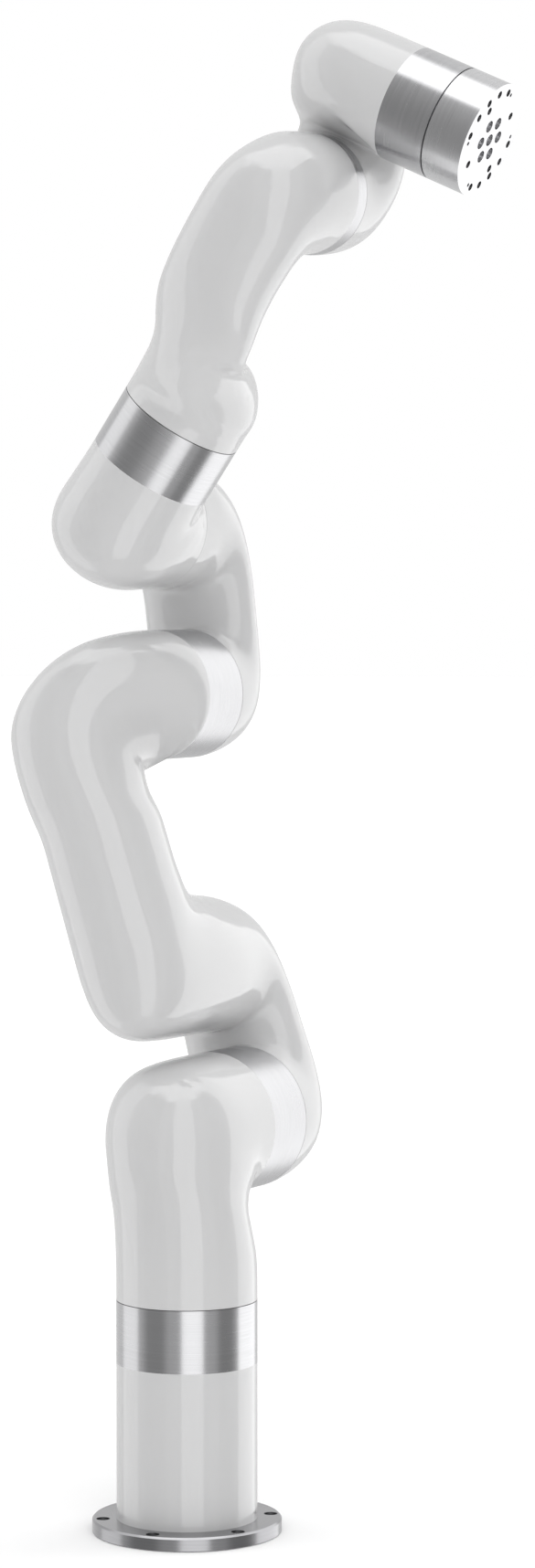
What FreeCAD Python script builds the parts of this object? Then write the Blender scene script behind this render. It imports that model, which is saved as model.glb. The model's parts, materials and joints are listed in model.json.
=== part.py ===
import FreeCAD, Part
import math
import os
from FreeCAD import Placement, Rotation, Vector

# Six-axis collaborative robot arm. Millimetres, +Z up, origin at the centre of the base underside.
# Every joint has its own frame, with the joint axis along its Z and the driven side towards +Z.

doc = FreeCAD.newDocument("robot_arm")
sheet = doc.addObject("Spreadsheet::Sheet", "Sizes")
DIMENSIONS = [
    ("wall", 3.0), ("ring_wall", 4.5), ("joint_gap", 0.5), ("running_gap", 0.3),
    ("flange_radius", 63.0), ("flange_thick", 8.7), ("flange_chamfer", 1.2),
    ("mount_circle", 56.0), ("mount_hole", 4.5), ("mount_phase", -109.6),
    ("shoulder_height", 267.0), ("upper_reach", 284.5), ("upper_offset", 53.5),
    ("fore_reach", 342.5), ("fore_offset", 77.5), ("wrist_offset", 76.0), ("wrist_reach", 97.0),
    ("angle_a", -26.6), ("angle_b", -18.4), ("angle_c", -125.85),
    ("angle_d", 4.7), ("angle_e", 78.9), ("angle_f", -16.4),
    ("radius_a", 46.8), ("radius_b", 48.1), ("radius_c", 43.4),
    ("radius_d", 41.9), ("radius_e", 38.7), ("radius_f", 37.4),
    ("start_a", 112.6), ("start_b", 33.9), ("start_c", 23.6),
    ("start_d", -214.2), ("start_e", -20.7), ("start_f", -61.8),
    ("end_a", 154.5), ("end_b", 76.9), ("end_c", 67.6),
    ("end_d", -173.0), ("end_e", -7.8), ("end_f", -27.2),
    ("shaft_radius", 9.5), ("shaft_bore", 7.0), ("hub_bore", 13.0), ("magnet_radius", 18.5),
    ("gear_long", 11.0), ("gear_back", 17.0), ("can_back", 38.0), ("can_back_short", 31.0),
    ("board_thick", 1.6),
    ("hub_half", 5.0), ("cup_wall", 1.2), ("board_bore", 11.5),
    ("seam_gap", 0.2),
    ("tool_circle", 25.0), ("tool_hole", 2.5), ("tool_hole_deep", 9.0),
    ("socket_radius", 6.0), ("panel_azimuth", 100.4),
]
for row, (alias, value) in enumerate(DIMENSIONS, start=1):
    sheet.set("A%d" % row, alias)
    sheet.set("B%d" % row, str(value))
    sheet.setAlias("B%d" % row, alias)
doc.recompute()


def size(alias):
    return float(sheet.get(alias))


JOINTS = "abcdef"


def turn(axis, degrees):
    return Placement(Vector(0, 0, 0), Rotation(axis, degrees))


def move(x, y, z):
    return Placement(Vector(x, y, z), Rotation())


AXIS_X = Vector(1, 0, 0)
AXIS_Z = Vector(0, 0, 1)


def joint_frames():
    """Frames of the six joints in the rest pose, base to tool."""
    shoulder = move(0, 0, size("shoulder_height")) * turn(AXIS_Z, size("angle_a"))
    arm = shoulder * turn(AXIS_X, -90) * turn(AXIS_Z, size("angle_b"))
    elbow = arm * move(size("upper_offset"), -size("upper_reach"), 0) * turn(AXIS_Z, size("angle_c"))
    roll = elbow * move(size("fore_offset"), size("fore_reach"), 0) * turn(AXIS_X, -90)
    roll = roll * turn(AXIS_Z, size("angle_d"))
    wrist = roll * turn(AXIS_X, 90) * turn(AXIS_Z, size("angle_e"))
    tool = wrist * move(size("wrist_offset"), size("wrist_reach"), 0) * turn(AXIS_X, -90)
    tool = tool * turn(AXIS_Z, size("angle_f"))
    return {"a": Placement(), "b": arm, "c": elbow, "d": roll, "e": wrist, "f": tool}


FRAMES = joint_frames()
SHOULDER = move(0, 0, size("shoulder_height")) * turn(AXIS_Z, size("angle_a"))
nodes = []


def node(obj, label, placement):
    obj.Label = label
    obj.Placement = placement
    nodes.append(obj)
    return obj


# ---- round pieces, bound to the sheet ------------------------------------------------------
def cylinder(name, radius, height, base):
    obj = doc.addObject("Part::Cylinder", name)
    obj.setExpression("Radius", radius)
    obj.setExpression("Height", height)
    obj.setExpression("Placement.Base.z", base)
    return obj


def boolean(kind, name, first, second):
    obj = doc.addObject("Part::" + kind, name)
    obj.Base = first
    obj.Tool = second
    return obj


def fused(name, pieces):
    obj = doc.addObject("Part::MultiFuse", name)
    obj.Shapes = pieces
    return obj


def tube(name, outer, inner, height, base):
    """Hollow cylinder; the bore tool is longer than the tube at both ends."""
    body = cylinder(name + "_outer", outer, height, base)
    bore = cylinder(name + "_bore", inner, "(%s) + 2" % height, "(%s) - 1" % base)
    return boolean("Cut", name, body, bore)


def s(alias):
    return "Sizes." + alias


def joint_module(j):
    """The pieces of one joint drive: ring, gear housing, stator, board, rotor, flexspline, hub."""
    radius = s("radius_" + j)
    end = s("end_" + j)
    start = s("start_" + j)
    frame = FRAMES[j]
    inner = "%s - %s" % (radius, s("ring_wall"))
    back = s("can_back_short") if j == "f" else s("can_back")
    ring = tube("ring_" + j, radius, inner, "%s - %s - %s" % (end, s("joint_gap"), start), start)
    node(ring, "joint_%s_ring" % j, frame)

    gear = tube("gear_" + j, inner, "%s - 8" % inner, s("gear_long"), "%s - %s" % (end, s("gear_back")))
    can = tube("can_" + j, "%s - 2.5" % inner, "%s - 5.5" % inner,
               "%s - %s + 1" % (back, s("gear_back")), "%s - %s" % (end, back))
    node(fused("gear_housing_" + j, [gear, can]), "joint_%s_gear_housing" % j, frame)

    stator = tube("stator_" + j, "%s - 5.5" % inner, "%s + 0.8" % s("magnet_radius"),
                  "%s - %s - 3" % (back, s("gear_back")), "%s - %s + 1" % (end, back))
    node(stator, "joint_%s_stator" % j, frame)

    board = tube("plate_" + j, "%s - 2.5" % inner, s("board_bore"), s("board_thick"),
                 "%s - %s - %s" % (end, back, s("board_thick")))
    chips = []
    for k in range(4):
        chip = doc.addObject("Part::Box", "chip_%s%d" % (j, k))
        chip.Length = 6
        chip.Width = 5
        chip.Height = 2
        chip.Placement = turn(AXIS_Z, 90 * k + 20) * move(15, -2.5, 0)
        chip.setExpression("Placement.Base.z", "%s - %s - %s - 1.9" % (end, back, s("board_thick")))
        chips.append(chip)
    node(fused("drive_board_" + j, [board] + chips), "joint_%s_drive_board" % j, frame)

    shaft = tube("shaft_" + j, s("shaft_radius"), s("shaft_bore"), "%s + 2" % back,
                 "%s - %s + 1" % (end, back))
    generator = tube("generator_" + j, "%s - 9.9" % inner, s("shaft_radius") + " - 1", "8", "%s - 16" % end)
    magnets = tube("magnets_" + j, s("magnet_radius"), s("shaft_radius") + " - 1",
                   "%s - %s - 6" % (back, s("gear_back")), "%s - %s + 2" % (end, back))
    node(fused("rotor_" + j, [shaft, generator, magnets]), "joint_%s_rotor" % j, frame)

    cup = tube("cup_" + j, "%s - 8.4" % inner, "%s - 8.4 - %s" % (inner, s("cup_wall")), "13",
               "%s - 18" % end)
    floor = tube("cup_floor_" + j, "%s - 8.4" % inner, s("hub_bore"), s("cup_wall"),
                 "%s - %s - %s" % (end, s("hub_half"), s("cup_wall")))
    node(fused("flexspline_" + j, [cup, floor]), "joint_%s_flexspline" % j, frame)

    disc = tube("disc_" + j, "%s - %s" % (inner, s("running_gap")), s("hub_bore"),
                s("hub_half") + " + 0.1", "%s - %s" % (end, s("hub_half")))
    collar = tube("collar_" + j, "%s - %s - 0.02" % (radius, s("wall")), s("hub_bore"), s("hub_half"), end)
    node(fused("output_hub_" + j, [disc, collar]), "joint_%s_output_hub" % j, frame)


for letter in JOINTS:
    joint_module(letter)

# ---- base ----------------------------------------------------------------------------------
plate = cylinder("flange_plate", s("flange_radius"), s("flange_thick"), "0")
plate_edge = doc.addObject("Part::Cone", "flange_edge")
plate_edge.setExpression("Radius1", "%s" % s("flange_radius"))
plate_edge.setExpression("Radius2", "%s - %s" % (s("flange_radius"), s("flange_chamfer")))
plate_edge.setExpression("Height", s("flange_chamfer"))
plate_edge.setExpression("Placement.Base.z", "%s - %s" % (s("flange_thick"), s("flange_chamfer")))
plate.setExpression("Height", "%s - %s" % (s("flange_thick"), s("flange_chamfer")))
flange_solid = fused("flange_solid", [plate, plate_edge])
flange_holes = []
for k in range(6):
    hole = cylinder("mount_hole_%d" % k, s("mount_hole"), "20", "-5")
    angle = "(%s + %d)" % (s("mount_phase"), 60 * k)
    hole.setExpression("Placement.Base.x", "%s * cos(%s)" % (s("mount_circle"), angle))
    hole.setExpression("Placement.Base.y", "%s * sin(%s)" % (s("mount_circle"), angle))
    flange_holes.append(hole)
centre_bore = cylinder("flange_bore", "20", "20", "-5")
flange = boolean("Cut", "flange", flange_solid, fused("flange_tools", flange_holes + [centre_bore]))
node(flange, "base_flange", Placement())

housing_tube = tube("housing_tube", s("radius_a"), "%s - %s" % (s("radius_a"), s("wall")),
                    "%s - %s" % (s("start_a"), s("flange_thick")), s("flange_thick"))
window = doc.addObject("Part::Box", "panel_window")
window.Length = 20
window.Width = 52
window.Height = 44
window.Placement = turn(AXIS_Z, size("panel_azimuth")) * move(30, -26, 28)
housing = boolean("Cut", "housing", housing_tube, window)
node(housing, "base_housing", Placement())

panel_plate = doc.addObject("Part::Box", "panel_plate")
panel_plate.Length = 3
panel_plate.Width = 51.6
panel_plate.Height = 43.6
panel_plate.Placement = move(34.2, -25.8, 28.2)
SOCKET_PLACES = [(-12, 38, "power"), (12, 38, "signal"), (0, 60, "air")]
socket_holes = []
for across, up, kind in SOCKET_PLACES:
    hole = doc.addObject("Part::Cylinder", "panel_hole_" + kind)
    hole.setExpression("Radius", s("socket_radius") + " * %s" % (0.6 if kind == "air" else 1.0))
    hole.Height = 12
    hole.Placement = Placement(Vector(30, across, up), Rotation(Vector(0, 1, 0), 90))
    socket_holes.append(hole)
panel = boolean("Cut", "panel", panel_plate, fused("panel_tools", socket_holes))
PANEL = turn(AXIS_Z, size("panel_azimuth"))
node(panel, "connector_panel", PANEL)


def socket(kind, radius, across, up, pins):
    """Round panel connector: a shell with its pins standing inside it."""
    outer = doc.addObject("Part::Cylinder", kind + "_shell_outer")
    outer.Radius = radius
    outer.Height = 11
    bore = doc.addObject("Part::Cylinder", kind + "_shell_bore")
    bore.Radius = radius - 1.2
    bore.Height = 11
    bore.Placement = move(0, 0, 3)
    shell = boolean("Cut", kind + "_shell", outer, bore)
    pieces = [shell]
    for k in range(pins):
        pin = doc.addObject("Part::Cylinder", "%s_pin_%d" % (kind, k))
        pin.Radius = 0.5
        pin.Height = 6
        reach = radius * 0.5
        pin.Placement = move(reach * math.cos(2 * math.pi * k / pins), reach * math.sin(2 * math.pi * k / pins), 2)
        pieces.append(pin)
    place = PANEL * Placement(Vector(29, across, up), Rotation(Vector(0, 1, 0), 90))
    node(fused(kind + "_socket", pieces), kind + "_socket", place)


socket("power", size("socket_radius"), -12, 38, 4)
socket("signal", size("socket_radius"), 12, 38, 8)
socket("air", size("socket_radius") * 0.6, 0, 60, 1)


# ---- shells: ellipses fanned round the inner corner of every bend ---------------------------
def station(near, far, half_width, across, shift, thin, fullness=2.0):
    """Points round the section through near and far, half_width to each side along across."""
    first = Vector(*near)
    second = Vector(*far)
    centre = (first + second) * 0.5
    main = second - first
    long_half = main.Length / 2 - thin
    main.normalize()
    side = Vector(*across)
    side = side - main * side.dot(main)
    side.normalize()
    points = []
    for k in range(AROUND):
        angle = 2 * math.pi * k / AROUND + math.radians(shift)
        c = math.cos(angle)
        d = math.sin(angle)
        reach = (abs(c) ** fullness + abs(d) ** fullness) ** (-1.0 / fullness)
        reach *= POLE_SCALE
        points.append(centre + main * (long_half * c * reach) + side * ((half_width - thin) * d * reach))
    return points


def slopes(knots, values):
    """Slopes at the knots that never overshoot between them."""
    steps = [knots[i + 1] - knots[i] for i in range(len(knots) - 1)]
    rises = [(values[i + 1] - values[i]) / steps[i] for i in range(len(steps))]
    result = [rises[0]]
    for i in range(1, len(rises)):
        if rises[i - 1] * rises[i] <= 0:
            result.append(0.0)
            continue
        first = 2 * steps[i] + steps[i - 1]
        second = steps[i] + 2 * steps[i - 1]
        result.append((first + second) / (first / rises[i - 1] + second / rises[i]))
    result.append(rises[-1])
    return result


def eased(knots, values, tangents, where):
    i = 0
    while i < len(knots) - 2 and where > knots[i + 1]:
        i += 1
    step = knots[i + 1] - knots[i]
    t = (where - knots[i]) / step
    return ((2 * t ** 3 - 3 * t ** 2 + 1) * values[i] + (t ** 3 - 2 * t ** 2 + t) * step * tangents[i]
            + (3 * t ** 2 - 2 * t ** 3) * values[i + 1] + (t ** 3 - t ** 2) * step * tangents[i + 1])


def dense_rows(stations, thin):
    """Sections at the stations, with extra ones eased in between them."""
    rows = [station(*item[:5], thin, *item[5:]) for item in stations]
    outer = [station(*item[:5], 0, *item[5:]) for item in stations]
    knots = [0.0]
    places = [0.0]
    for before, after in zip(outer, outer[1:]):
        gap = sum((q - p).Length for p, q in zip(before, after)) / AROUND
        steps = max(1, round(gap / SPACING))
        places += [knots[-1] + gap * (i + 1) / steps for i in range(steps)]
        knots.append(knots[-1] + gap)
    dense = [[Vector() for _ in range(AROUND)] for _ in places]
    for k in range(AROUND):
        for axis in range(3):
            values = [row[k][axis] for row in rows]
            tangents = slopes(knots, values)
            for i, where in enumerate(places):
                dense[i][k][axis] = eased(knots, values, tangents, where)
    return dense


def skin(rows):
    """Smooth face whose poles are the sections; clamped along, periodic around."""
    surface = Part.BSplineSurface()
    inside = len(rows) - 4
    surface.buildFromPolesMultsKnots(
        rows, [4] + [1] * inside + [4], [1] * (AROUND + 1), list(range(inside + 2)), list(range(AROUND + 1)),
        False, True, 3, 3)
    return surface.toShape()


def closed_wire(points):
    curve = Part.BSplineCurve()
    curve.buildFromPolesMultsKnots(points, [1] * (AROUND + 1), list(range(AROUND + 1)), True, 3)
    return Part.Wire([curve.toShape()])


def rim(outer, inner):
    return Part.makeFace([closed_wire(outer), closed_wire(inner)], "Part::FaceMakerBullseye")


def walled(outer, inner):
    """Closed solid between an outer and an inner skin, open at both mouths."""
    faces = [skin(outer), skin(inner), rim(outer[0], inner[0]), rim(outer[-1], inner[-1])]
    sewn = Part.makeShell(faces)
    sewn.sewShape()
    solid = Part.makeSolid(Part.Shell(sewn.Faces))
    if solid.Volume < 0:
        solid.reverse()
    return solid


def shell(stations):
    return walled(dense_rows(stations, 0), dense_rows(stations, size("wall")))


AROUND = 24
SPACING = 8.0
POLE_SCALE = 3.0 / (2.0 + math.cos(2 * math.pi / AROUND))


def part_node(shape, label, placement):
    feature = doc.addObject("Part::Feature", label + "_shape")
    feature.Shape = shape
    return node(feature, label, placement)


P_AXIS = (1, 0, 0)
P_BACK = (-1, 0, 0)
LINK_TURN = turn(AXIS_X, 90)
ra = size("radius_a")
rb = size("radius_b")
rc = size("radius_c")
rd = size("radius_d")
re = size("radius_e")
rf = size("radius_f")
h = size("shoulder_height")

# shoulder: upright tube, then an elbow to the second joint. Axes: x forward, y joint axis, z up
low = size("end_a") - h
mb = size("start_b")
shoulder_stations = [
    ((0, ra, low), (0, -ra, low), ra, P_AXIS, 0),
    ((0, ra, -100), (0, -ra, -98), ra, P_AXIS, 0),
    ((0, 45.5, -88), (0, -ra - 0.4, -76), ra, P_AXIS, 0),
    ((0, 40.5, -74), (0, -50.5, -48), 46, P_AXIS, 0),
    ((0, 36, -61), (0, -58, -20), 45.8, P_AXIS, 0),
    ((0, 34.6, -52.5), (0, -58.5, 6), 47.2, P_AXIS, 0, 2.1),
    ((0, 34.3, -49), (0, -49, 29), 48, P_AXIS, 0, 2.3),
    ((0, 34, -48.3), (0, -28, 45), rb, P_AXIS, 0, 2.2),
    ((0, mb - 0.1, -rb), (0, 5, rb), rb, P_AXIS, 0),
    ((0, mb, -rb), (0, mb, rb), rb, P_AXIS, 0),
]
shoulder_shell = shell(shoulder_stations)
part_node(shoulder_shell, "shoulder_shell", SHOULDER)

# upper arm: cap on the second joint, crossing, long tube, elbow to the third joint
mb2 = size("end_b")
mc = size("start_c")
reach = size("upper_reach")
offset = size("upper_offset")
upper_stations = [
    ((0, mb2, rb), (0, mb2, -rb), rb, P_AXIS, 0),
    ((0, mb2 + 5.2, rb), (0, mb2 + 7, -rb), rb, P_AXIS, 0),
    ((0, 83, 48.6), (0, 100, -45), rb - 0.3, P_AXIS, 0, 2.1),
    ((0, 83.5, 50.5), (0, 118, -28), 47, P_AXIS, 0, 2.2),
    ((0, 83.8, 53.5), (0, 128, 14), 45.5, P_AXIS, 0, 2.2),
    ((0, 83.5, 56.5), (0, 129, 66), 44, P_AXIS, 0, 2.2),
    ((1, 82.5, 58.8), (1, 123, 116), 43, P_AXIS, 0, 2.1),
    ((2, 80, 60), (2, 105, 144), 43, P_AXIS, 0, 2.1),
    ((4, 70, 60.5), (4, 77, 153.5), 43.5, P_AXIS, 0, 2.0),
    ((7, 46, 60.5), (7, 49, 155.5), 44, P_AXIS, 0, 2.0),
    ((9, 6, 60.5), (9, 35, 158), 43.5, P_AXIS, 0, 2.1),
    ((10, -30, 62.5), (10, 28, 161), 42.5, P_AXIS, 0, 2.2),
    ((11, -51, 74), (11, 24, 166), 41.8, P_AXIS, 0, 2.2),
    ((12, -59, 100), (12, 21.5, 172), 41.3, P_AXIS, 0, 2.1),
    ((12, -60, 145), (12, 20.7, 184), 40.8, P_AXIS, 0),
    ((12, -59.5, 205), (12, 20.7, 202), 40.3, P_AXIS, 0),
    ((7, -59.5, 233), (9, 21.3, 219), 40, P_AXIS, 0),
    ((3, -59, 262), (12, 22.3, 230), 40.8, P_AXIS, 0),
    ((1, -54, 290), (23, 23.1, 237), 44, P_AXIS, 0, 2.1),
    ((12, -42, 313), (38, 23.4, 240), 48, P_AXIS, 0, 2.1),
    ((30, -22, 325.5), (48, 23.2, 240.8), 48, P_AXIS, 0, 2.1),
    ((47, 0, reach + rc), (53, 22.5, reach - rc), 44.5, P_AXIS, 0),
    ((offset, 14, reach + rc), (offset, mc - 0.6, reach - rc), rc, P_AXIS, 0),
    ((offset, mc, reach + rc), (offset, mc, reach - rc), rc, P_AXIS, 0),
]
upper_shell = shell(upper_stations)
part_node(upper_shell, "upper_arm_shell", FRAMES["b"] * LINK_TURN)

# elbow: cap on the third joint, crossing, elbow to the roll joint. The reach is towards -z here
mc2 = size("end_c")
md = size("start_d") + size("fore_reach")
cross_z = -85.0
lean = Vector(size("fore_offset"), 0, cross_z)
lean.normalize()
ALONG = (-lean.z, 0, lean.x)
SHIFT = math.degrees(math.acos(-lean.z))
fo = size("fore_offset")


def leaning(distance, depth):
    return (lean.x * distance, depth, lean.z * distance)


span = math.hypot(fo, cross_z)
elbow_cap_stations = [
    (leaning(rc, mc2), leaning(-rc, mc2), rc, ALONG, 180),
    (leaning(rc, mc2 + 5.2), leaning(-rc, mc2 + 6.5), rc, ALONG, 180),
    (leaning(rc + 0.6, 74), leaning(-rc + 3, 89), rc - 0.3, ALONG, 180, 2.1),
    (leaning(rc + 3, 75.5), leaning(-24, 106), rc - 1, ALONG, 180, 2.2),
    (leaning(rc + 9, 76), leaning(18, 115), rc - 2, ALONG, 180, 2.2),
    (leaning(span - 54, 76), leaning(70, 116), rc - 2, ALONG, 180, 2.2),
    (leaning(span - 47, 75), leaning(116, 110), rc - 1.4, ALONG, 180, 2.1),
    (leaning(span - 44, 72), leaning(146, 93), rc - 0.6, ALONG, 180, 2.1),
    (leaning(span - 43, 64), leaning(span + 42.5, 68), rc + 0.4, ALONG, 180, 2.0),
    ((fo, 54, cross_z - 42), (fo, 50, cross_z + 42.5), rc + 1.2, P_BACK, SHIFT),
]
elbow_roll_stations = [
    ((fo, 43, cross_z - 42), (fo, 22, cross_z + 43), rc + 1.6, P_BACK, SHIFT),
    ((fo, 42.6, cross_z - 42.2), (fo, -2, cross_z + 43), rc + 2.6, P_BACK, SHIFT, 2.1),
    ((fo, 42.2, cross_z - 42.4), (fo, -26, cross_z + 36), rc + 2.8, P_BACK, SHIFT, 2.1),
    ((fo, 42.0, cross_z - 42.6), (fo, -41, cross_z + 17), rd + 2, P_BACK, SHIFT, 2.1),
    ((fo, rd, cross_z - 42.8), (fo, -43, cross_z - 8), rd + 0.5, P_BACK, SHIFT),
    ((fo, rd, -md + 0.3), (fo, -rd - 0.2, -md + 14), rd, P_BACK, SHIFT),
    ((fo, rd, -md), (fo, -rd, -md), rd, P_BACK, SHIFT),
]
seam_half = size("seam_gap") / 2
SEAM_NEAR = 44.0
SEAM_FAR = 34.0


def seam_station(offset):
    return ((fo, SEAM_NEAR + offset, cross_z - 42), (fo, SEAM_FAR + offset, cross_z + 43), rc + 1.2, P_BACK, SHIFT)


ELBOW = FRAMES["c"] * LINK_TURN
part_node(shell(elbow_cap_stations + [seam_station(seam_half)]), "elbow_cap_shell", ELBOW)
part_node(shell([seam_station(-seam_half)] + elbow_roll_stations), "elbow_roll_shell", ELBOW)

# forearm: round at the roll joint, swings to one side, elbow to the wrist. Axes: y joint axis, z along
md2 = size("end_d")
me = size("start_e")


def level(z, depth, half_depth, x, half_width):
    return ((x, depth + half_depth, z), (x, depth - half_depth, z), half_width, P_AXIS, 0)


forearm_stations = [
    level(md2, 0, rd, 0, rd),
    level(md2 + 6, 0, rd, 0, rd),
    ((0, rd, -159), (0, -rd - 0.2, -164), rd, P_AXIS, 0),
    ((1, 43, -148), (1, -46, -157), 42.2, P_AXIS, 0),
    ((0.5, 41, -137), (0.5, -54, -149), 39, P_AXIS, 0),
    ((0, 31, -127), (0, -63, -136), 34.5, P_AXIS, 0),
    ((0.5, 9, -119), (0.5, -71, -121), 33, P_AXIS, 0),
    ((3, -24, -114.5), (3, -78, -104), 36, P_AXIS, 0),
    ((2.5, -38.8, -102), (2.5, -85, -84), 38, P_AXIS, 0, 2.1),
    ((-0.5, -39, -76), (-0.5, -90, -62), 37, P_AXIS, 0, 2.2),
    ((-1.5, -39, -56), (-1.5, -91.5, -40), 37, P_AXIS, 0, 2.2),
    ((-2, -38.4, -45), (-2, -90.5, -12), 37.6, P_AXIS, 0, 2.2),
    ((-3, -30, -40.5), (-3, -82, 13), 38.2, P_AXIS, 0, 2.1),
    ((-2, -22.2, -39.4), (-2, -64, 29.5), 38.7, P_AXIS, 0, 2.1),
    ((-1, -20.8, -38.9), (-1, -43, 37.4), 38.7, P_AXIS, 0, 2.1),
    ((0, me - 0.05, -re), (0, -29, re), re, P_AXIS, 0),
    ((0, me, -re), (0, me, re), re, P_AXIS, 0),
]
forearm_shell = shell(forearm_stations)
part_node(forearm_shell, "forearm_shell", FRAMES["d"] * turn(AXIS_Z, 180))

# wrist: cap on the fifth joint, short arm, elbow down to the tool joint
me2 = size("end_e")
wo = size("wrist_offset")
mf = -(size("wrist_reach") + size("start_f"))
U_AXIS = (0, 0, 1)
S_BACK = (0, -1, 0)
wrist_stations = [
    ((re, me2, 0), (-re, me2, 0), re, U_AXIS, 180),
    ((re, me2 + 5.2, 0), (-re, me2 + 6, 0), re, U_AXIS, 180),
    ((re + 0.4, -1, 0), (-37, 14, 0), re, U_AXIS, 180, 2.1),
    ((re + 0.8, 1, 0), (-25, 36, 0), re, U_AXIS, 180, 2.3),
    ((re + 1, 2, 0), (4, 50, 0), 38.5, U_AXIS, 180, 2.4),
    ((re + 2, 2, 1), (28, 51, 1), 38, U_AXIS, 180, 2.4),
    ((re + 4, -6, 3), (42, 50, 3), 39, U_AXIS, 180, 2.3),
]
pivot_x = wo - rf
wrist_fan = [
    ((pivot_x + 8, 17, mf + 2), (54, 13, 47), 35, S_BACK, 90, 2.2),
    ((pivot_x + 2, 7, mf + 0.6), (83, 5, 48.5), 37.4, S_BACK, 90, 2.2),
    ((pivot_x + 0.5, 2, mf + 0.3), (107, 1, 31), rf, S_BACK, 90, 2.1),
    ((pivot_x, 0, mf + 0.2), (wo + rf, 0, 4), rf, S_BACK, 90),
    ((pivot_x, 0, mf + 0.1), (wo + rf, 0, mf + 16), rf, S_BACK, 90),
    ((pivot_x, 0, mf), (wo + rf, 0, mf), rf, S_BACK, 90),
]
wrist_shell = shell(wrist_stations + wrist_fan)
part_node(wrist_shell, "wrist_shell", FRAMES["e"] * LINK_TURN)

# ---- tool end ------------------------------------------------------------------------------
back = "%s + %s" % (s("end_f"), s("joint_gap"))
tool_disc = cylinder("tool_disc", s("radius_f"), "0 - (%s)" % back, back)
tool_recess = cylinder("tool_recess", "%s - %s" % (s("radius_f"), s("wall")), "%s + 1" % s("hub_half"),
                       "%s - 1" % s("end_f"))
tool_cavity = cylinder("tool_cavity", "24", "12", "%s + %s - 1" % (s("end_f"), s("hub_half")))


def face_hole(name, circle, angle, radius, depth):
    hole = doc.addObject("Part::Cylinder", name)
    hole.Radius = radius
    hole.Height = depth + 1
    hole.Placement = move(circle * math.cos(math.radians(angle)), circle * math.sin(math.radians(angle)), -depth)
    return hole


tools = [tool_recess, tool_cavity]
for k in range(4):
    hole = cylinder("tool_hole_%d" % k, s("tool_hole"), s("tool_hole_deep") + " + 1", "0 - " + s("tool_hole_deep"))
    angle = 60 + 90 * k
    hole.setExpression("Placement.Base.x", "%s * cos(%d)" % (s("tool_circle"), angle))
    hole.setExpression("Placement.Base.y", "%s * sin(%d)" % (s("tool_circle"), angle))
    tools.append(hole)
tools.append(face_hole("centre_hole", 0, 0, 3.9, 4))
for k in range(6):
    tools.append(face_hole("inner_hole_%d" % k, 11.7, 60 * k, 3.9, 4))
for k in range(5):
    for side in (0, 180):
        angle = 15 + 22.5 * k + side
        tools.append(face_hole("outer_hole_%d_%d" % (k, side), 31.5, angle, 2.5, 8))
for angle in (5.7, 114.3, 185.7, 294.3):
    tools.append(face_hole("pin_hole_%d" % int(angle), 30.9, angle, 1.3, 5))
tool_flange = boolean("Cut", "tool_flange", tool_disc, fused("tool_tools", tools))
node(tool_flange, "tool_flange", FRAMES["f"])

doc.recompute()
for obj in doc.Objects:
    if "Invalid" in obj.State or "Error" in obj.State:
        raise RuntimeError("%s did not recompute: %s" % (obj.Label, obj.State))
os.makedirs("parts", exist_ok=True)
for obj in nodes:
    if obj.Shape.isNull() or not obj.Shape.isValid():
        raise RuntimeError("%s has no valid shape" % obj.Label)
    print(obj.Label, len(obj.Shape.Solids), "solids", round(obj.Shape.Volume / 1000.0, 1), "cm3")
    obj.Shape.exportStep("parts/%s.step" % obj.Label)
print(len(nodes), "nodes written")
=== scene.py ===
import json
import math

import bpy
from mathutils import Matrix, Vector

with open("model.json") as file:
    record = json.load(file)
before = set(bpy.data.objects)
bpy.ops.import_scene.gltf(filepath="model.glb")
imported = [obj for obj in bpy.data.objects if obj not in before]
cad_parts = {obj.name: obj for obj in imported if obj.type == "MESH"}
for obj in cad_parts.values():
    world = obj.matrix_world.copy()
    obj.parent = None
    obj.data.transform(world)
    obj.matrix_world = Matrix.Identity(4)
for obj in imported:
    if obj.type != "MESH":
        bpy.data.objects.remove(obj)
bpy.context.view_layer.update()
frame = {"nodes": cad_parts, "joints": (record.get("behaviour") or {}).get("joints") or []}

JOINTS = {j["name"]: j for j in frame["joints"]}
NODES = frame["nodes"]
RING_JOINT = {
    "a": "base_turn",
    "b": "shoulder_lift",
    "c": "elbow_bend",
    "d": "forearm_roll",
    "e": "wrist_bend",
    "f": "tool_turn",
}


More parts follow.
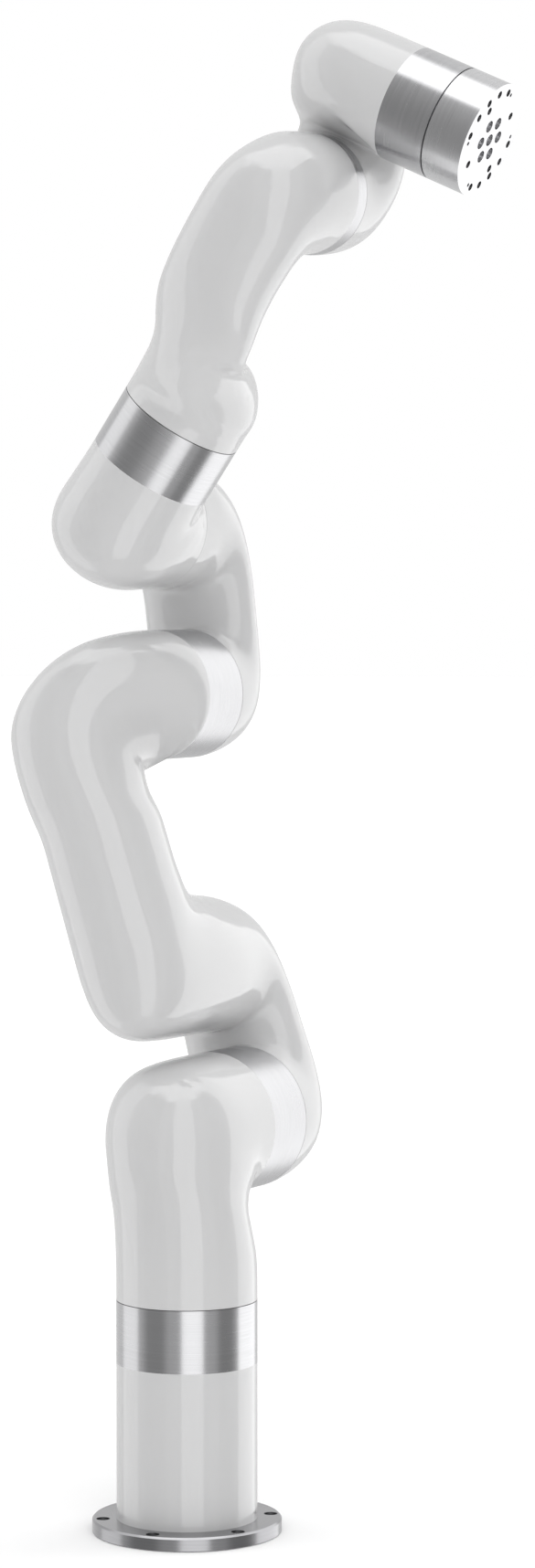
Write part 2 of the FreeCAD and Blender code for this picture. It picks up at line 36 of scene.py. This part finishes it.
# ---------------------------------------------------------------- node helpers
class Shader:
    """A material under construction, with short calls for its nodes."""

    def __init__(self, name):
        self.material = bpy.data.materials.new(name)
        self.material.use_nodes = True
        self.tree = self.material.node_tree
        self.principled = self.tree.nodes["Principled BSDF"]

    def node(self, kind, **settings):
        made = self.tree.nodes.new(kind)
        for key, value in settings.items():
            setattr(made, key, value)
        return made

    def link(self, source, target):
        self.tree.links.new(source, target)

    def feed(self, socket, value):
        if isinstance(value, bpy.types.NodeSocket):
            self.link(value, socket)
        else:
            socket.default_value = value

    def math(self, operation, first, second=0.0, third=None):
        made = self.node("ShaderNodeMath", operation=operation)
        self.feed(made.inputs[0], first)
        self.feed(made.inputs[1], second)
        if third is not None:
            self.feed(made.inputs[2], third)
        return made.outputs[0]

    def vector(self, operation, first, second=(0.0, 0.0, 0.0)):
        made = self.node("ShaderNodeVectorMath", operation=operation)
        self.feed(made.inputs[0], first)
        if len(made.inputs) > 1:
            self.feed(made.inputs[1], second)
        return made.outputs["Value"] if operation in ("DOT_PRODUCT", "LENGTH") else made.outputs["Vector"]

    def noise(self, vector, scale, detail=4.0, roughness=0.55):
        made = self.node("ShaderNodeTexNoise")
        self.link(vector, made.inputs["Vector"])
        made.inputs["Scale"].default_value = scale
        made.inputs["Detail"].default_value = detail
        made.inputs["Roughness"].default_value = roughness
        return made.outputs["Fac"]

    def spread(self, value, low, high, start=0.0, end=1.0):
        """Maps start..end to low..high."""
        made = self.node("ShaderNodeMapRange")
        self.link(value, made.inputs["Value"])
        made.inputs["From Min"].default_value = start
        made.inputs["From Max"].default_value = end
        made.inputs["To Min"].default_value = low
        made.inputs["To Max"].default_value = high
        return made.outputs["Result"]

    def between(self, value, first, second):
        """A colour from first to second as value goes from 0 to 1."""
        made = self.node("ShaderNodeMix", data_type="RGBA")
        self.feed(made.inputs["Factor"], value)
        made.inputs["A"].default_value = (*first, 1.0)
        made.inputs["B"].default_value = (*second, 1.0)
        return made.outputs["Result"]

    def bump(self, height, strength, distance):
        made = self.node("ShaderNodeBump")
        made.inputs["Strength"].default_value = strength
        made.inputs["Distance"].default_value = distance
        self.link(height, made.inputs["Height"])
        return made.outputs["Normal"]

    def place(self):
        return self.node("ShaderNodeTexCoord").outputs["Object"]

    def set(self, **values):
        for key, value in values.items():
            self.feed(self.principled.inputs[key.replace("_", " ")], value)


def gloss_paint(name, tone=(0.585, 0.585, 0.588)):
    """Gloss white paint over a casting: a hard clear coat, faint orange peel and a slow drift in tone."""
    s = Shader(name)
    place = s.place()
    drift = s.noise(place, 9.0, 3.0)
    peel = s.noise(place, 620.0, 2.0)
    haze = s.noise(place, 45.0, 5.0)
    worn = tuple(c * 0.99 for c in tone)
    s.set(
        Base_Color=s.between(s.spread(drift, 0.0, 1.0, 0.35, 0.65), tone, worn),
        Roughness=s.spread(haze, 0.34, 0.40, 0.3, 0.7),
        Normal=s.bump(peel, 0.05, 0.00010),
    )
    s.principled.inputs["Coat Weight"].default_value = 1.0
    s.principled.inputs["Coat Roughness"].default_value = 0.02
    s.principled.inputs["Coat IOR"].default_value = 1.65
    s.principled.inputs["Specular IOR Level"].default_value = 0.12
    return s.material


def turned_metal(name, joint, tone, roughness=0.30, anisotropy=0.75, groove=0.12):
    """Metal turned about a joint's axis: fine grooves run round it and stretch reflections across them."""
    s = Shader(name)
    centre = tuple(joint["pos_m"])
    axis = tuple(Vector(joint["axis"]).normalized())
    out = s.vector("SUBTRACT", s.place(), centre)
    along = s.vector("DOT_PRODUCT", out, axis)
    round_ = s.vector("CROSS_PRODUCT", axis, out)
    radius = s.vector("LENGTH", round_)
    groove_place = s.node("ShaderNodeCombineXYZ")
    s.link(along, groove_place.inputs[0])
    s.link(radius, groove_place.inputs[1])
    drawn = s.node("ShaderNodeVectorMath", operation="SCALE")
    s.link(s.place(), drawn.inputs[0])
    drawn.inputs["Scale"].default_value = 0.02
    grain_place = s.vector("ADD", groove_place.outputs[0], drawn.outputs[0])
    fine = s.noise(grain_place, 2600.0, 3.0)
    broad = s.noise(grain_place, 700.0, 2.0)
    smear = s.noise(s.place(), 30.0, 4.0)
    to_world = s.node(
        "ShaderNodeVectorTransform", vector_type="VECTOR", convert_from="OBJECT", convert_to="WORLD",
    )
    s.link(round_, to_world.inputs[0])
    normal = s.node("ShaderNodeNewGeometry").outputs["Normal"]
    across = s.vector("NORMALIZE", s.vector("CROSS_PRODUCT", normal, to_world.outputs[0]))
    bright = tuple(min(1.0, c * 1.06) for c in tone)
    dull = tuple(c * 0.94 for c in tone)
    tint = s.math("ADD", s.math("MULTIPLY", fine, 0.6), s.math("MULTIPLY", broad, 0.4))
    wear = s.math("ADD", s.math("MULTIPLY", broad, 0.5), s.math("MULTIPLY", smear, 0.5))
    s.set(
        Base_Color=s.between(s.spread(tint, 0.0, 1.0, 0.3, 0.7), dull, bright),
        Roughness=s.spread(wear, roughness * 0.88, roughness * 1.12, 0.3, 0.7),
        Normal=s.bump(fine, groove, 0.000015),
        Tangent=across,
    )
    s.principled.inputs["Metallic"].default_value = 1.0
    s.principled.inputs["Anisotropic"].default_value = anisotropy
    return s.material


def plain_metal(name, tone, roughness):
    """Metal as it comes off a mill, with a fine random scratch and a little stain."""
    s = Shader(name)
    place = s.place()
    scratch = s.noise(place, 1800.0, 3.0)
    stain = s.noise(place, 60.0, 4.0)
    s.set(
        Base_Color=s.between(s.spread(stain, 0.0, 1.0, 0.35, 0.65), tone, tuple(c * 0.85 for c in tone)),
        Roughness=s.spread(scratch, roughness * 0.8, roughness * 1.25, 0.3, 0.7),
        Normal=s.bump(scratch, 0.15, 0.00002),
    )
    s.principled.inputs["Metallic"].default_value = 1.0
    return s.material


def moulded_plastic(name, tone, roughness):
    """Plastic with the fine spark-eroded texture of a moulding tool."""
    s = Shader(name)
    place = s.place()
    texture = s.noise(place, 2600.0, 2.0)
    rubbed = s.noise(place, 80.0, 4.0)
    paler = tuple(min(1.0, c * 1.3) for c in tone)
    s.set(
        Base_Color=s.between(s.spread(rubbed, 0.0, 1.0, 0.35, 0.65), tone, paler),
        Roughness=s.spread(rubbed, roughness * 0.9, roughness * 1.1, 0.3, 0.7),
        Normal=s.bump(texture, 0.3, 0.00004),
    )
    return s.material


def wound_copper(name, joint):
    """Varnished copper wire laid in turns along the motor's axis."""
    s = Shader(name)
    out = s.vector("SUBTRACT", s.place(), tuple(joint["pos_m"]))
    along = s.vector("DOT_PRODUCT", out, tuple(joint["axis"]))
    turns = s.math("SINE", s.math("MULTIPLY", along, 5200.0))
    mottle = s.noise(s.place(), 220.0, 3.0)
    s.set(
        Base_Color=s.between(mottle, (0.50, 0.22, 0.08), (0.70, 0.36, 0.15)),
        Roughness=s.spread(mottle, 0.28, 0.42, 0.3, 0.7),
        Normal=s.bump(turns, 0.6, 0.0003),
    )
    s.principled.inputs["Metallic"].default_value = 0.85
    return s.material


def dress(node, material):
    slots = NODES[node].data.materials
    slots.clear()
    slots.append(material)


# ---------------------------------------------------------------- materials on the CAD nodes
PAINT = gloss_paint("gloss_white_paint")
BLACK = moulded_plastic("black_panel", (0.025, 0.025, 0.028), 0.45)
BOARD = moulded_plastic("solder_mask", (0.03, 0.16, 0.07), 0.35)
NICKEL = plain_metal("nickel_plate", (0.62, 0.60, 0.57), 0.22)
MILLED = plain_metal("milled_alloy", (0.60, 0.60, 0.62), 0.35)
GROUND = plain_metal("ground_steel", (0.48, 0.48, 0.50), 0.28)

for node in NODES:
    if node.endswith("_shell") or node == "base_housing":
        dress(node, PAINT)
    elif node.endswith("_socket"):
        dress(node, NICKEL)
for letter, joint_name in RING_JOINT.items():
    joint = JOINTS[joint_name]
    dress(f"joint_{letter}_ring", turned_metal(f"brushed_ring_{letter}", joint, (0.55, 0.55, 0.56), 0.26))
    dress(f"joint_{letter}_stator", wound_copper(f"stator_windings_{letter}", joint))
    dress(f"joint_{letter}_gear_housing", MILLED)
    dress(f"joint_{letter}_output_hub", MILLED)
    dress(f"joint_{letter}_drive_board", BOARD)
    dress(f"joint_{letter}_rotor", GROUND)
    dress(f"joint_{letter}_flexspline", GROUND)
dress("tool_flange", turned_metal("tool_flange_alloy", JOINTS["tool_turn"], (0.64, 0.64, 0.65), 0.26, 0.7))
dress("base_flange", turned_metal("base_flange_alloy", JOINTS["base_turn"], (0.36, 0.36, 0.37), 0.24, 0.6))
dress("connector_panel", BLACK)


# ---------------------------------------------------------------- studio
def sheet(name, corners, material):
    mesh = bpy.data.meshes.new(name)
    mesh.from_pydata([tuple(c) for c in corners], [], [tuple(range(len(corners)))])
    made = bpy.data.objects.new(name, mesh)
    made.data.materials.append(material)
    bpy.context.scene.collection.objects.link(made)
    return made


floor_paint = Shader("studio_floor")
floor_place = floor_paint.place()
floor_grain = floor_paint.noise(floor_place, 300.0, 3.0)
floor_paint.set(
    Base_Color=floor_paint.between(floor_grain, (0.93, 0.93, 0.93), (0.95, 0.95, 0.95)),
    Roughness=0.9,
    Normal=floor_paint.bump(floor_grain, 0.02, 0.0005),
)
FLOOR_REACH = 30.0
FLOOR_LEVEL = -0.0006
studio_floor = sheet(
    "studio_floor",
    [(-FLOOR_REACH, -FLOOR_REACH, FLOOR_LEVEL), (FLOOR_REACH, -FLOOR_REACH, FLOOR_LEVEL),
     (FLOOR_REACH, FLOOR_REACH, FLOOR_LEVEL), (-FLOOR_REACH, FLOOR_REACH, FLOOR_LEVEL)],
    floor_paint.material,
)
studio_floor.visible_glossy = False

# Each soft box or dark flag: azimuth, half width, elevation, half height, edge softness, brightness.
# Azimuth 0 is the camera's side and grows towards +X; all are in degrees.
ROOM = 0.55
BOXES = (
    ("ceiling_box", 0, 200, 80, 27, 1.5, 2.0),
    ("back_wall", 180, 56, 5, 70, 4, 0.78),
    ("front_box", 13, 18, 0, 58, 1, 1.60),
    ("left_box", -103, 20, 0, 58, 1, 1.30),
    ("right_box", 124, 27, 0, 58, 1, 1.70),
    ("left_flag", -50, 19, 0, 58, 5, 0.32),
    ("right_flag", 72, 16, 0, 58, 5, 0.30),
)


class Air(Shader):
    """The studio round the arm, as light by direction."""

    def __init__(self, name):
        self.world = bpy.data.worlds.new(name)
        self.world.use_nodes = True
        self.tree = self.world.node_tree
        self.background = self.tree.nodes["Background"]

    def degrees(self, radians_socket):
        return self.math("MULTIPLY", radians_socket, 180 / math.pi)

    def edge(self, distance, half, softness):
        """1 inside the half width, 0 outside, with a short slope."""
        return self.spread(distance, 1.0, 0.0, half - softness, half + softness)


def studio_air():
    air = Air("studio_air")
    direction = air.vector("NORMALIZE", air.node("ShaderNodeTexCoord").outputs["Generated"])
    parts = air.node("ShaderNodeSeparateXYZ")
    air.link(direction, parts.inputs[0])
    x, y, z = parts.outputs
    azimuth = air.degrees(air.math("ARCTAN2", x, air.math("MULTIPLY", y, -1.0)))
    elevation = air.degrees(air.math("ARCSINE", z))
    level = ROOM
    for name, middle, half, height, reach, softness, brightness in BOXES:
        turned = air.math("WRAP", air.math("SUBTRACT", azimuth, float(middle)), 180.0, -180.0)
        away = air.math("ABSOLUTE", turned)
        up = air.math("ABSOLUTE", air.math("SUBTRACT", elevation, float(height)))
        inside = air.math("MULTIPLY", air.edge(away, half, softness), air.edge(up, reach, softness))
        mix = air.node("ShaderNodeMix", data_type="FLOAT", label=name)
        air.feed(mix.inputs[0], inside)
        air.feed(mix.inputs[2], level)
        mix.inputs[3].default_value = brightness
        level = mix.outputs[0]
    seen = air.node("ShaderNodeMix", data_type="FLOAT")
    air.link(air.node("ShaderNodeLightPath").outputs["Is Camera Ray"], seen.inputs[0])
    air.link(level, seen.inputs[2])
    seen.inputs[3].default_value = 1.0
    air.link(seen.outputs[0], air.background.inputs["Strength"])
    air.background.inputs["Color"].default_value = (1.0, 1.0, 1.0, 1.0)
    bpy.context.scene.world = air.world


studio_air()


def sun(name, tilt, turn, strength, spread):
    data = bpy.data.lights.new(name, "SUN")
    data.energy = strength
    data.angle = math.radians(spread)
    made = bpy.data.objects.new(name, data)
    made.rotation_euler = (math.radians(tilt), 0.0, math.radians(turn))
    bpy.context.scene.collection.objects.link(made)


sun("overhead_fill", 12, 20, 0.2, 60)

# The camera stands in front of the arm at elbow height and looks slightly down and to the left.
CAMERA_PLACE = (0.1833, -2.5984, 0.6151)
CAMERA_DOWN = 2.62
CAMERA_LEFT = 2.86
camera_data = bpy.data.cameras.new("camera")
camera_data.sensor_width = 36.0
camera_data.lens = 90.79
camera = bpy.data.objects.new("camera", camera_data)
camera.location = CAMERA_PLACE
camera.rotation_euler = (math.radians(90 - CAMERA_DOWN), 0.0, math.radians(CAMERA_LEFT))
bpy.context.scene.collection.objects.link(camera)
bpy.context.scene.camera = camera
bpy.context.scene.view_settings.view_transform = "Standard"
